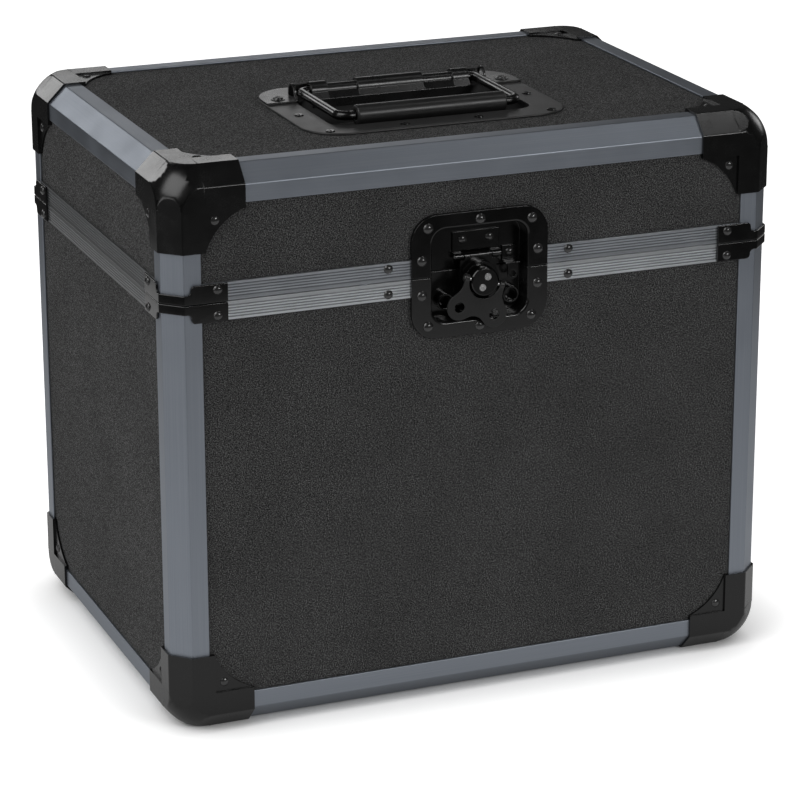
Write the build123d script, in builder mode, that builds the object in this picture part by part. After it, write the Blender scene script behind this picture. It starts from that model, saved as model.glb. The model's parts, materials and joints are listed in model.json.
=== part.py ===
import os

from build123d import *
from math import cos, radians, sin, sqrt, tan

os.makedirs("parts", exist_ok=True)

# Record carrying case with a hinged lid, a butterfly latch and a sprung top handle.
# Millimetres, +Z up, origin on the floor under the middle of the case, front at -Y.

# ---------------------------------------------------------------- driving sizes
case_width = 400.0            # over the edge profiles
case_depth = 288.0
case_height = 356.0           # over the edge profiles, without the caps' skin
lid_height = 81.0             # of the case's height, above the seam
seam_gap = 0.4                # between lid and base when closed

panel_thickness = 6.0
panel_fit = 0.2               # end play of a panel in its slot
panel_clip = 4.0              # corners cut off under the ball corners

profile_wall = 1.5            # outer wall of the edge profiles
profile_inner_wall = 1.2
profile_reach = 22.0          # how far a profile covers each face
profile_inner_reach = 18.0
profile_bevel = 11.0          # leg of the flat bevel along each edge
slot_floor = 12.0             # bottom of the panel slots, from the outer faces

rim_height = 11.5             # closure rims each side of the seam
rim_wall = 1.5
rim_web = 1.5
tongue_height = 2.0
tongue_play = 0.7             # sideways play of the tongue in its groove
groove_depth = 2.6
rim_rib_count = 5             # shallow grooves along the face of each rim
rim_rib_pitch = 1.75
rim_plain = 2.2               # smooth band between the grooves and the seam
rim_rib_width = 0.8
rim_rib_depth = 0.3

cap_skin = 1.5                # sheet of the corner caps and straps
cap_arm = 50.0                # reach of each arm from the case's outer faces
cap_arm_width = 25.0
ball_center = 24.0            # centre of the ball corner, from the outer faces
ball_radius = 28.6            # outside of the ball
web_sag = 4.0                 # hollow of the curved edge of each web
web_rivet_inset = 31.0

strap_reach = 38.0            # of each strap along a face, from the corner
strap_bridge_start = 15.0     # the strap is full height beyond this
strap_bridge_height = 5.8
strap_shoulder = 2.6          # rounded corners of the step beside the bridge
strap_rivet_inset = 31.5
seam_rivet_offset = 8.0       # rivets of rims and straps, from the seam
rim_rivet_x = 59.6

rivet_radius = 3.0
rivet_height = 1.6
rivet_sides = 8
rivet_crown = 0.55            # flat middle of a domed head, as a share of its radius
web_rivet_height = 1.2        # lower, under the caps' skin
cut_over = 1.0                # cutting tools run this far past what they cut
touching = 0.01

# latch dish
dish_width = 90.0
dish_height = 78.0
dish_corner = 17.0
dish_opening_width = 63.0
dish_opening_height = 58.6
dish_opening_corner = 9.0
dish_sheet = 1.5
dish_pan_wall = 1.2
dish_depth = 11.0             # from the underside of the flange to the back plate
dish_lip = 1.8                # rounding from the flange into the pan
dish_play = 0.8               # between the pan and the cut-outs round it
dish_rivet_radius = 3.5
dish_rivet_height = 2.0
dish_rivet_side = (38.3, 11.0)
dish_rivet_corner = (34.3, 31.0)
dish_rivet_middle = 33.8

# butterfly latch, on the middle of the dish
latch_x = 1.75
barrel_height = 8.5           # hinge line of the latch arm above the seam
barrel_inset = 7.6            # behind the case's front face
barrel_radius = 2.0
barrel_pin_radius = 1.0
barrel_play = 0.05
barrel_gap = 0.4              # between the arm's barrel and the plate's knuckles
hinge_plate_width = 31.0
hinge_plate_height = 12.0
hinge_plate_gap = 3.2         # plate's lower edge above the hinge line
hinge_plate_sheet = 1.2
plate_rivet_spread = 9.0      # rivets each side of the middle
plate_rivet_lift = 1.0        # above the middle of the plate
arm_width = 24.0
arm_barrel_width = 18.0
arm_sheet = 1.2
arm_face = 5.4                # front of the arm's plate, behind the front face
claw_drop = 33.0              # claw's tip under the hinge line
claw_reach = 3.4
claw_width = 14.0
claw_length = 12.0            # narrow end of the arm
arm_shoulder = 25.0           # where the arm narrows, under the hinge line
housing_wall = 2.0            # of the arm's round collar, in which the drum turns
housing_play = 0.3            # between the collar and the drum
housing_front = 0.2           # collar's rim in front of the case's front face
drum_drop = 14.0              # drum's axis under the hinge line
drum_radius = 9.2
drum_front = 5.2              # in front of the case's front face
drum_gap = 0.3                # between the drum and the arm's plate
drum_edge = 0.8
spindle_radius = 3.0
spindle_play = 0.05
spindle_head = 0.8
drum_pin_radius = 2.2
drum_pin_spacing = 7.4
drum_pin_tilt = 28.0
drum_pin_rise = 0.5
wing_tilt = 16.7              # how the wing is left hanging, clockwise
wing_sheet = 1.4
wing_back = 4.0               # back of the wing in front of the case's front face
wing_hole_radius = 3.3
wing_lobe_radius = 8.2
wing_lobe_x = 12.0
wing_lobe_drop = 18.6
wing_waist_radius = 10.5      # round the drum
wing_ear_width = 3.0
wing_pin_radius = 1.2
wing_ear_drop = 4.0           # straight edge of each ear
wing_valley = 3.5             # the lower edge's middle, under the holes' centres
wing_pin_inset = 3.2          # fold line, in front of the case's front face
wing_eye_wall = 1.4
strike_width = 24.0
strike_height = 4.0
strike_sheet = 1.2
strike_lip = 5.0
strike_gap = 0.4              # under the claw

eyelet_spread = 21.75
eyelet_drop = 18.5
eyelet_outer = 5.5
eyelet_inner = 4.0
eyelet_length = 6.0
hasp_offset = 22.5
hasp_width = 10.0
hasp_foot = 1.2               # plate's lower edge above the seam
hasp_height = 10.5
hasp_reach = 7.0
hasp_eye_width = 7.0          # eye that hangs from the hasp, across the seam
hasp_eye_drop = 8.5           # below the seam
hasp_eye_hole = 1.9

# handle
handle_y = -32.0
handle_width = 174.0
handle_length = 122.0
handle_corner = 25.0
handle_sheet = 1.5
handle_opening_width = 134.0
handle_front_margin = 19.0    # plate's front edge to its opening
handle_back_margin = 31.0
handle_opening_corner = 10.0
handle_pan_depth = 18.0
handle_pan_wall = 1.2
pivot_inset = 23.0            # bail's pivot, from the plate's back edge
pivot_height = 3.5
bail_rod_radius = 3.0
bail_rod_sides = 14
bail_half_width = 60.0
grip_inset = 9.0              # grip's axis, from the opening's front edge
bail_bend = 7.0
bail_pivot_bend = 4.0
grip_radius = 6.5
grip_length = 100.0
grip_play = 0.1
bush_radius = 4.5
bush_play = 0.05
bush_gap = 0.1                # between a bush and the cover's step
bail_stub = 1.0               # end of the rod, in from the bush's inner end
cover_sheet = 1.5
cover_play = 0.1
cover_ear_length = 37.0       # from the plate's back edge
cover_hump_half = 66.0
cover_low_inner = 22.5        # the hump is pressed lower between these two
cover_low_outer = 43.0
cover_low_drop = 1.9
cover_notch_width = 12.0      # notches in the back edge, out from the lower lengths' inner ends
cover_notch_depth = 5.0
cover_slot_inner = 54.0
cover_slot_outer = 64.5
cover_slot_back = 4.5         # behind the pivot
cover_apron_depth = 9.0
screw_radius = 3.2
screw_height = 0.8
pop_radius = 4.5
pop_height = 1.5
screw_row_inset = 8.0         # front row's distance from the plate's front edge
screw_row_inner = 24.7
screw_row_outer_inset = 13.0  # from the plate's sides
screw_side_inset = 9.5        # one screw on each side
screw_side_y = -7.0
pop_row_x = 55.0              # row along the back, then one on each ear
pop_row_inset = 10.0          # from the plate's back edge
pop_ear_inset = 10.0          # from the plate's sides
pop_ear_length = 29.0         # from the plate's back edge

# back hinges
hinge_x = 110.0
hinge_length = 60.0
hinge_leaf = 22.0             # how far a leaf reaches from the seam
hinge_sheet = 1.5
leaf_start = 3.4              # leaf's near edge, clear of the other leaf's knuckles
hinge_rivet_z = 15.0
knuckle_radius = 2.75
knuckle_count = 3
knuckle_gap = 0.3
knuckle_clear = 0.3
hinge_pin_radius = 1.3
hinge_pin_play = 0.05

# foam lining
pad_floor = 5.0
pad_wall = 3.0
pad_margin = 0.4

# ---------------------------------------------------------------- worked out from them
half_width = case_width / 2
half_depth = case_depth / 2
seam_height = case_height - lid_height
plate_back = handle_length / 2               # handle plate's edge, from its middle
handle_opening_front = handle_front_margin - plate_back
handle_opening_back = plate_back - handle_back_margin
pivot_y = plate_back - pivot_inset
bail_reach = pivot_y - handle_opening_front - grip_inset
case_bottom = cap_skin                       # the caps' skin touches the floor
case_top = case_bottom + case_height
seam_z = case_bottom + seam_height
base_top = seam_z - seam_gap / 2
lid_bottom = seam_z + seam_gap / 2
panel_inner = profile_wall + panel_thickness
lining_inset = profile_inner_reach + pad_margin
bevel_shift = tan(radians(22.5))             # where a bevel's corner goes per unit of skin
middle_plane = Plane.XY.offset((case_bottom + case_top) / 2)
front = Plane(origin=(0, -half_depth, seam_z), x_dir=(1, 0, 0), z_dir=(0, -1, 0))
drum_z = barrel_height - drum_drop


def save(part, name):
    """Label a finished piece and write it."""
    part.label = name
    export_step(part, f"parts/{name}.step")


def block(low, high, mode=Mode.ADD):
    """Box between two corners, in the current part."""
    center = tuple((a + b) / 2 for a, b in zip(low, high))
    size = [b - a for a, b in zip(low, high)]
    with Locations(center):
        Box(*size, mode=mode)


# ---------------------------------------------------------------- edge profiles
def profile_section():
    """Corner extrusion: bevelled outside, a slot for a panel on each side."""
    inner = panel_inner + profile_inner_wall
    with BuildSketch() as section:
        with BuildLine():
            Polyline(
                (profile_bevel, 0), (profile_reach, 0), (profile_reach, profile_wall),
                (slot_floor, profile_wall), (slot_floor, panel_inner),
                (profile_inner_reach, panel_inner), (profile_inner_reach, inner),
                (inner, inner), (inner, profile_inner_reach),
                (panel_inner, profile_inner_reach), (panel_inner, slot_floor),
                (profile_wall, slot_floor), (profile_wall, profile_reach),
                (0, profile_reach), (0, profile_bevel), close=True,
            )
        make_face()
    return section.sketch


profile = profile_section()


def upright_profiles(low, high):
    with BuildPart() as uprights:
        corner = Plane(origin=(-half_width, -half_depth, low), x_dir=(1, 0, 0), z_dir=(0, 0, 1))
        with BuildSketch(corner):
            add(profile)
        extrude(amount=high - low)
        mirror(about=Plane.YZ)
        mirror(about=Plane.XZ)
    return uprights.part


def long_edge_profiles(height, up):
    """Front and back edge profiles at one height, up is +1 at the bottom and -1 at the top."""
    length = case_width - 2 * ball_center
    with BuildPart() as edges:
        corner = Plane(
            origin=(-length / 2 * up, -half_depth, height), x_dir=(0, 1, 0), z_dir=(up, 0, 0)
        )
        with BuildSketch(corner):
            add(profile)
        extrude(amount=length)
        mirror(about=Plane.XZ)
    return edges.part


def side_edge_profiles(height, up):
    length = case_depth - 2 * ball_center
    with BuildPart() as edges:
        corner = Plane(
            origin=(-half_width, length / 2 * up, height), x_dir=(1, 0, 0), z_dir=(0, -up, 0)
        )
        with BuildSketch(corner):
            add(profile)
        extrude(amount=length)
        mirror(about=Plane.YZ)
    return edges.part


save(upright_profiles(case_bottom + ball_center, base_top), "base_upright_profiles")
save(upright_profiles(lid_bottom, case_top - ball_center), "lid_upright_profiles")
save(long_edge_profiles(case_bottom, 1), "base_long_edge_profiles")
save(long_edge_profiles(case_top, -1), "lid_long_edge_profiles")
save(side_edge_profiles(case_bottom, 1), "base_side_edge_profiles")
save(side_edge_profiles(case_top, -1), "lid_side_edge_profiles")

# ---------------------------------------------------------------- panels
panel_edge = slot_floor + panel_fit
base_panel_top = base_top - groove_depth - rim_web
lid_panel_bottom = lid_bottom + rim_web
panel_x = half_width - panel_edge
panel_y = half_depth - panel_edge
base_panel_bottom = case_bottom + panel_edge
lid_panel_top = case_top - panel_edge
dish_cut_x = dish_opening_width / 2 + dish_pan_wall + dish_play
dish_cut_z = dish_opening_height / 2 + dish_pan_wall + dish_play
handle_cut_x = handle_opening_width / 2 + handle_pan_wall + dish_play
handle_cut_front = handle_y + handle_opening_front - handle_pan_wall - dish_play
handle_cut_back = handle_y + handle_opening_back + handle_pan_wall + dish_play


def wall_panel(side, low, high, cut=None):
    """Front (-1) or back (+1) panel, with the latch's cut-out where cut gives its heights."""
    with BuildPart() as panel:
        outer = side * (half_depth - profile_wall)
        inner = side * (half_depth - panel_inner)
        block((-panel_x, min(outer, inner), low), (panel_x, max(outer, inner), high))
        clipped = panel.edges().filter_by(Axis.Y).group_by(Axis.Z)[0 if low < case_top / 2 else -1]
        chamfer(clipped, length=panel_clip)
        if cut:
            block((-dish_cut_x, -half_depth, cut[0]), (dish_cut_x, 0, cut[1]), Mode.SUBTRACT)
    return panel.part


def end_panel(side, low, high):
    """Left (-1) or right (+1) panel."""
    with BuildPart() as panel:
        outer = side * (half_width - profile_wall)
        inner = side * (half_width - panel_inner)
        block((min(outer, inner), -panel_y, low), (max(outer, inner), panel_y, high))
        clipped = panel.edges().filter_by(Axis.X).group_by(Axis.Z)[0 if low < case_top / 2 else -1]
        chamfer(clipped, length=panel_clip)
    return panel.part


base_cut = (seam_z - dish_cut_z, seam_z)
lid_cut = (seam_z, seam_z + dish_cut_z)
save(wall_panel(-1, base_panel_bottom, base_panel_top, base_cut), "base_front_panel")
save(wall_panel(1, base_panel_bottom, base_panel_top), "base_back_panel")
save(end_panel(-1, base_panel_bottom, base_panel_top), "base_left_panel")
save(end_panel(1, base_panel_bottom, base_panel_top), "base_right_panel")
save(wall_panel(-1, lid_panel_bottom, lid_panel_top, lid_cut), "lid_front_panel")
save(wall_panel(1, lid_panel_bottom, lid_panel_top), "lid_back_panel")
save(end_panel(-1, lid_panel_bottom, lid_panel_top), "lid_left_panel")
save(end_panel(1, lid_panel_bottom, lid_panel_top), "lid_right_panel")

with BuildPart() as base_bottom_panel:
    block(
        (-panel_x, -panel_y, case_bottom + profile_wall),
        (panel_x, panel_y, case_bottom + panel_inner),
    )
    chamfer(base_bottom_panel.edges().filter_by(Axis.Z), length=panel_clip)
save(base_bottom_panel.part, "base_bottom_panel")

with BuildPart() as lid_top_panel:
    block(
        (-panel_x, -panel_y, case_top - panel_inner),
        (panel_x, panel_y, case_top - profile_wall),
    )
    chamfer(lid_top_panel.edges().filter_by(Axis.Z), length=panel_clip)
    block(
        (-handle_cut_x, handle_cut_front, case_top - panel_inner),
        (handle_cut_x, handle_cut_back, case_top),
        Mode.SUBTRACT,
    )
save(lid_top_panel.part, "lid_top_panel")


# ---------------------------------------------------------------- closure rims
def rim_section(tongue):
    """Rim across its length: x goes in from the case's face, y away from the seam."""
    inner = panel_inner + profile_inner_wall
    web_start = 0 if tongue else groove_depth
    with Locations((0, 0)):
        Rectangle(rim_wall, rim_height, align=(Align.MIN, Align.MIN))
    with Locations((panel_inner, 0)):
        Rectangle(profile_inner_wall, rim_height, align=(Align.MIN, Align.MIN))
    with Locations((0, web_start)):
        Rectangle(inner, rim_web, align=(Align.MIN, Align.MIN))
    if tongue:
        tongue_width = panel_thickness - 2 * tongue_play
        with Locations((rim_wall + panel_thickness / 2, 0)):
            Rectangle(tongue_width, tongue_height, align=(Align.CENTER, Align.MAX))
    ribs_height = (rim_rib_count - 1) * rim_rib_pitch + rim_rib_width
    with Locations((0, rim_plain + ribs_height / 2)):
        with GridLocations(0, rim_rib_pitch, 1, rim_rib_count):
            Rectangle(2 * rim_rib_depth, rim_rib_width, mode=Mode.SUBTRACT)


def rim_plane(origin, inward, away):
    """Plane of a rim's section, whose x looks into the case and y away from the seam."""
    return Plane(origin=origin, x_dir=inward, z_dir=Vector(*inward).cross(Vector(*away)))


upward = (0, 0, 1)
downward = (0, 0, -1)
rim_span_x = half_width - profile_reach
rim_span_y = half_depth - profile_reach
rim_start = dish_cut_x


def front_rims(height, away, tongue):
    with BuildPart() as rims:
        start = -rim_span_x if away == upward else -rim_start
        with BuildSketch(rim_plane((start, -half_depth, height), (0, 1, 0), away)):
            rim_section(tongue)
        extrude(amount=rim_span_x - rim_start)
        mirror(about=Plane.YZ)
    return rims.part


def back_rim(height, away, tongue):
    with BuildPart() as rim:
        with BuildSketch(rim_plane((0, half_depth, height), (0, -1, 0), away)):
            rim_section(tongue)
        extrude(amount=rim_span_x, both=True)
    return rim.part


def side_rims(height, away, tongue):
    with BuildPart() as rims:
        with BuildSketch(rim_plane((-half_width, 0, height), (1, 0, 0), away)):
            rim_section(tongue)
        extrude(amount=rim_span_y, both=True)
        mirror(about=Plane.YZ)
    return rims.part


save(front_rims(base_top, downward, False), "base_front_rims")
save(front_rims(lid_bottom, upward, True), "lid_front_rims")
save(back_rim(base_top, downward, False), "base_back_rim")
save(back_rim(lid_bottom, upward, True), "lid_back_rim")
save(side_rims(base_top, downward, False), "base_side_rims")
save(side_rims(lid_bottom, upward, True), "lid_side_rims")


# ---------------------------------------------------------------- corner caps
def corner_block(skin):
    """Bevelled corner of the case grown by a skin, its tip rounded to a ball.

    The corner of the outer faces is at the origin and the case lies in the positive octant.
    """
    size = cap_arm + skin
    with BuildPart() as round_off:
        block((-size, -size, -size), (ball_center, ball_center, ball_center))
        with Locations((ball_center, ball_center, ball_center)):
            Sphere(ball_radius - cap_skin + skin, mode=Mode.SUBTRACT)
    with BuildPart() as corner:
        block((-skin, -skin, -skin), (cap_arm, cap_arm, cap_arm))
        tip = corner.vertices().sort_by_distance((-skin, -skin, -skin))[0]
        tip_edges = corner.edges().filter_by(lambda edge: edge.distance_to(tip) < touching)
        chamfer(tip_edges, length=profile_bevel + skin * (1 - bevel_shift))
        add(round_off.part, mode=Mode.SUBTRACT)
    return corner.part


def corner_cap():
    """Stamped corner cap: three bevelled arms, a ball tip and three riveted webs."""
    outside = corner_block(cap_skin)
    inside = corner_block(0)
    web_planes = (
        Plane(origin=(0, 0, 0), x_dir=(1, 0, 0), z_dir=(0, 0, 1)),
        Plane(origin=(0, 0, 0), x_dir=(0, 1, 0), z_dir=(1, 0, 0)),
        Plane(origin=(0, 0, 0), x_dir=(0, 0, 1), z_dir=(0, 1, 0)),
    )
    with BuildPart() as cap:
        add(outside)
        add(inside, mode=Mode.SUBTRACT)
        for plane in web_planes:
            with BuildSketch(plane.offset(-cap_skin)):
                with Locations((cap_arm_width, cap_arm_width)):
                    Rectangle(cap_arm, cap_arm, align=(Align.MIN, Align.MIN))
            extrude(amount=cap_skin, mode=Mode.SUBTRACT)
        for plane in web_planes:
            with BuildSketch(plane):
                with BuildLine():
                    Polyline(
                        (cap_arm_width, cap_arm), (profile_reach, cap_arm),
                        (profile_reach, profile_reach), (cap_arm, profile_reach),
                        (cap_arm, cap_arm_width),
                    )
                    chord_middle = (cap_arm + cap_arm_width) / 2
                    hollow = chord_middle - web_sag / sqrt(2)
                    ThreePointArc(
                        (cap_arm, cap_arm_width), (hollow, hollow), (cap_arm_width, cap_arm)
                    )
                make_face()
            extrude(amount=profile_wall)
    return cap.part


cap = corner_cap()
with BuildPart() as base_corner_caps:
    with Locations((-half_width, -half_depth, case_bottom)):
        add(cap)
    mirror(about=Plane.YZ)
    mirror(about=Plane.XZ)
save(base_corner_caps.part, "base_corner_caps")
with BuildPart() as lid_corner_caps:
    add(mirror(base_corner_caps.part, about=middle_plane, mode=Mode.PRIVATE))
save(lid_corner_caps.part, "lid_corner_caps")


# ---------------------------------------------------------------- corner straps
def corner_straps(seam_edge, away):
    """Bent straps over the upright corners, one edge on the seam."""
    skin_corner = profile_bevel - cap_skin * bevel_shift
    with BuildPart() as straps:
        corner = Plane(
            origin=(-half_width, -half_depth, seam_edge), x_dir=(1, 0, 0), z_dir=(0, 0, 1)
        )
        with BuildSketch(corner):
            with BuildLine():
                Polyline(
                    (strap_reach, 0), (profile_bevel, 0), (0, profile_bevel), (0, strap_reach),
                    (-cap_skin, strap_reach), (-cap_skin, skin_corner),
                    (skin_corner, -cap_skin), (strap_reach, -cap_skin), close=True,
                )
            make_face()
        extrude(amount=away * rim_height)
        tall = sorted((away * strap_bridge_height, away * (rim_height + cut_over)))
        block(
            (-half_width - 2 * cap_skin, -half_depth - 2 * cap_skin, seam_edge + tall[0]),
            (-half_width + strap_bridge_start, -half_depth + strap_bridge_start,
             seam_edge + tall[1]),
            Mode.SUBTRACT,
        )
        step_x = -half_width + strap_bridge_start
        step_y = -half_depth + strap_bridge_start
        front_step = straps.edges().filter_by(Axis.Y).filter_by_position(
            Axis.X, step_x - touching, step_x + touching
        )
        side_step = straps.edges().filter_by(Axis.X).filter_by_position(
            Axis.Y, step_y - touching, step_y + touching
        )
        fillet(front_step + side_step, radius=strap_shoulder)
        mirror(about=Plane.YZ)
        mirror(about=Plane.XZ)
    return straps.part


save(corner_straps(base_top, -1), "base_corner_straps")
save(corner_straps(lid_bottom, 1), "lid_corner_straps")


# ---------------------------------------------------------------- rivets
def rivet_head(radius, height):
    """Low head that narrows towards its crown."""
    with BuildPart() as head:
        with BuildSketch():
            RegularPolygon(radius, rivet_sides)
        with BuildSketch(Plane.XY.offset(height)):
            RegularPolygon(radius * rivet_crown, rivet_sides)
        loft()
    return head.part


def rivets(places, radius=rivet_radius, height=rivet_height):
    """Rivet heads at planes whose z points out of the sheet."""
    head = rivet_head(radius, height)
    with BuildPart() as group:
        for place in places:
            with Locations(place):
                add(head)
    return group.part


def cap_rivet_planes():
    """Outer face of each web of the base's front left cap, then mirrored to the others."""
    x = -half_width + web_rivet_inset
    y = -half_depth + web_rivet_inset
    z = case_bottom + web_rivet_inset
    for sx in (1, -1):
        for sy in (1, -1):
            yield Plane(origin=(sx * x, -sy * half_depth, z), z_dir=(0, -sy, 0))
            yield Plane(origin=(-sx * half_width, sy * y, z), z_dir=(-sx, 0, 0))
            yield Plane(origin=(sx * x, sy * y, case_bottom), z_dir=(0, 0, -1))


base_cap_rivets = rivets(cap_rivet_planes(), height=web_rivet_height)
save(base_cap_rivets, "base_cap_rivets")
with BuildPart() as lid_cap_rivets:
    add(mirror(base_cap_rivets, about=middle_plane, mode=Mode.PRIVATE))
save(lid_cap_rivets.part, "lid_cap_rivets")


def seam_rivet_planes(away):
    """Rivets of the straps, of the rims beside the latch and of the back hinges' leaves."""
    z = seam_z + away * seam_rivet_offset
    for sx in (-1, 1):
        for sy in (-1, 1):
            x = sx * (half_width - strap_rivet_inset)
            y = sy * (half_depth - strap_rivet_inset)
            yield Plane(origin=(x, sy * (half_depth + cap_skin), z), z_dir=(0, sy, 0))
            yield Plane(origin=(sx * (half_width + cap_skin), y, z), z_dir=(sx, 0, 0))
        yield Plane(origin=(sx * rim_rivet_x, -half_depth, z), z_dir=(0, -1, 0))
        for shift in (-hinge_length / 3, 0, hinge_length / 3):
            leaf_z = seam_z + away * hinge_rivet_z
            yield Plane(
                origin=(sx * hinge_x + shift, half_depth + hinge_sheet, leaf_z), z_dir=(0, 1, 0)
            )


save(rivets(seam_rivet_planes(-1)), "base_seam_rivets")
save(rivets(seam_rivet_planes(1)), "lid_seam_rivets")


# ---------------------------------------------------------------- latch dish
def latch_dish(side):
    """Half of the recessed dish, side is +1 for the lid's and -1 for the base's."""
    with BuildPart() as dish:
        with BuildSketch(front):
            RectangleRounded(dish_width, dish_height, dish_corner)
            RectangleRounded(
                dish_opening_width, dish_opening_height, dish_opening_corner,
                mode=Mode.SUBTRACT,
            )
        extrude(amount=dish_sheet)
        with BuildSketch(front):
            RectangleRounded(dish_width, dish_height, dish_corner)
            RectangleRounded(
                dish_width - 2 * dish_sheet, dish_height - 2 * dish_sheet,
                dish_corner - dish_sheet, mode=Mode.SUBTRACT,
            )
            Rectangle(2 * dish_width, 2 * (rim_height + seam_gap), mode=Mode.SUBTRACT)
        extrude(amount=-profile_wall)
        with BuildSketch(front.offset(-dish_depth - dish_pan_wall)):
            RectangleRounded(
                dish_opening_width + 2 * dish_pan_wall, dish_opening_height + 2 * dish_pan_wall,
                dish_opening_corner + dish_pan_wall,
            )
        extrude(amount=dish_depth + dish_pan_wall)
        with BuildSketch(front.offset(-dish_depth)):
            RectangleRounded(dish_opening_width, dish_opening_height, dish_opening_corner)
        extrude(amount=dish_depth, mode=Mode.SUBTRACT)
        flange_face = dish.faces().sort_by(Axis.Y)[0]
        fillet(flange_face.inner_wires()[0].edges(), radius=dish_lip)
        edge = side * seam_gap / 2
        split(bisect_by=front_cut(edge), keep=Keep.TOP if side > 0 else Keep.BOTTOM)
    return dish.part


def front_cut(offset):
    return Plane.XY.offset(seam_z + offset)


save(latch_dish(-1), "base_latch_dish")
save(latch_dish(1), "lid_latch_dish")


def dish_rivet_planes(side):
    flange = front.offset(dish_sheet)
    places = [(-dish_rivet_side[0], dish_rivet_side[1]), (dish_rivet_side[0], dish_rivet_side[1])]
    places += [(-dish_rivet_corner[0], dish_rivet_corner[1])]
    places += [(0, dish_rivet_middle), (dish_rivet_corner[0], dish_rivet_corner[1])]
    for x, z in places:
        yield Plane(origin=flange.from_local_coords((x, side * z, 0)), z_dir=(0, -1, 0))


save(rivets(dish_rivet_planes(-1), dish_rivet_radius, dish_rivet_height), "base_dish_rivets")
save(rivets(dish_rivet_planes(1), dish_rivet_radius, dish_rivet_height), "lid_dish_rivets")

# ---------------------------------------------------------------- latch hinge plate
# Planes below are parallel to the front face, x along +X and y up from the seam.
latch = Plane(
    origin=(latch_x, -half_depth, seam_z), x_dir=(1, 0, 0), z_dir=(0, -1, 0)
)
dish_back = latch.offset(-dish_depth)
barrel_plane = Plane(
    origin=latch.from_local_coords((0, barrel_height, -barrel_inset)),
    x_dir=(0, 1, 0), z_dir=(1, 0, 0),
)
side_knuckle = (hinge_plate_width - arm_barrel_width) / 2 - barrel_gap
bore_radius = barrel_pin_radius + barrel_play

with BuildPart() as latch_hinge_plate:
    with BuildSketch(dish_back):
        with Locations((0, barrel_height + hinge_plate_gap)):
            Rectangle(
                hinge_plate_width, hinge_plate_height, align=(Align.CENTER, Align.MIN)
            )
    extrude(amount=hinge_plate_sheet)
    # a knuckle each side of the arm's barrel, with a tail up to the plate
    for side in (-1, 1):
        start = side * hinge_plate_width / 2
        with BuildSketch(barrel_plane.offset(start)):
            Circle(barrel_radius)
            tail = dish_depth - barrel_inset
            with Locations((0, 0)):
                Rectangle(tail, barrel_radius, align=(Align.MIN, Align.MIN))
            with Locations((tail - hinge_plate_sheet, 0)):
                Rectangle(
                    hinge_plate_sheet, hinge_plate_gap, align=(Align.MIN, Align.MIN)
                )
            Circle(bore_radius, mode=Mode.SUBTRACT)
        extrude(amount=-side * side_knuckle)
save(latch_hinge_plate.part, "latch_hinge_plate")

plate_rivet_z = barrel_height + hinge_plate_gap + hinge_plate_height / 2 + plate_rivet_lift
plate_rivet_planes = [
    Plane(
        origin=dish_back.from_local_coords((x, plate_rivet_z, hinge_plate_sheet)),
        z_dir=(0, -1, 0),
    )
    for x in (-plate_rivet_spread, plate_rivet_spread)
]

with BuildPart() as latch_hinge_pin:
    with BuildSketch(barrel_plane):
        Circle(barrel_pin_radius)
    extrude(amount=hinge_plate_width / 2, both=True)
save(latch_hinge_pin.part, "latch_hinge_pin")

# ---------------------------------------------------------------- latch arm
arm_tail = barrel_inset - arm_face
housing_radius = drum_radius + housing_play + housing_wall
with BuildPart() as latch_arm:
    # barrel on the pin, with a tail forward to the plate
    with BuildSketch(barrel_plane):
        Circle(barrel_radius)
        with Locations((-arm_tail, -barrel_radius)):
            Rectangle(arm_tail, barrel_radius, align=(Align.MIN, Align.MIN))
        with Locations((-arm_tail, -barrel_radius - cut_over)):
            Rectangle(arm_sheet, barrel_radius + cut_over, align=(Align.MIN, Align.MIN))
        Circle(bore_radius, mode=Mode.SUBTRACT)
    extrude(amount=arm_barrel_width / 2, both=True)
    # plate behind the drum, narrowed to the claw
    with BuildSketch(latch.offset(-arm_face)):
        with Locations((0, barrel_height - barrel_radius)):
            Rectangle(
                arm_width, arm_shoulder - barrel_radius, align=(Align.CENTER, Align.MAX)
            )
        with Locations((0, barrel_height - claw_drop)):
            Rectangle(claw_width, claw_length, align=(Align.CENTER, Align.MIN))
        with Locations((0, drum_z)):
            Circle(housing_radius)
            Circle(spindle_radius + spindle_play, mode=Mode.SUBTRACT)
    extrude(amount=-arm_sheet)
    # collar round the drum
    with BuildSketch(latch.offset(-arm_face)):
        with Locations((0, drum_z)):
            Circle(housing_radius)
            Circle(drum_radius + housing_play, mode=Mode.SUBTRACT)
    extrude(amount=arm_face + housing_front)
    # claw turned in towards the strike
    with BuildSketch(latch.offset(-arm_face)):
        with Locations((0, barrel_height - claw_drop)):
            Rectangle(claw_width, arm_sheet, align=(Align.CENTER, Align.MIN))
    extrude(amount=-claw_reach)
save(latch_arm.part, "latch_arm")

# ---------------------------------------------------------------- latch drum
drum_plane = Plane(
    origin=latch.from_local_coords((0, drum_z, 0)), x_dir=(1, 0, 0), z_dir=(0, -1, 0)
)
fold_pin = Plane(
    origin=latch.from_local_coords((0, drum_z, wing_pin_inset)),
    z_dir=(cos(radians(wing_tilt)), 0, -sin(radians(wing_tilt))),
)
with BuildPart() as latch_drum:
    with BuildSketch(drum_plane.offset(drum_gap - arm_face)):
        Circle(drum_radius)
    extrude(amount=drum_front + arm_face - drum_gap)
    chamfer(latch_drum.edges().group_by(Axis.Y)[0], length=drum_edge)
    with BuildSketch(drum_plane.offset(drum_gap - arm_face)):
        Circle(spindle_radius)
    extrude(amount=-drum_gap - arm_sheet - spindle_head)
    with BuildSketch(fold_pin):
        Circle(wing_pin_radius)
    extrude(amount=drum_radius + cut_over, both=True, mode=Mode.SUBTRACT)
save(latch_drum.part, "latch_drum")

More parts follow.
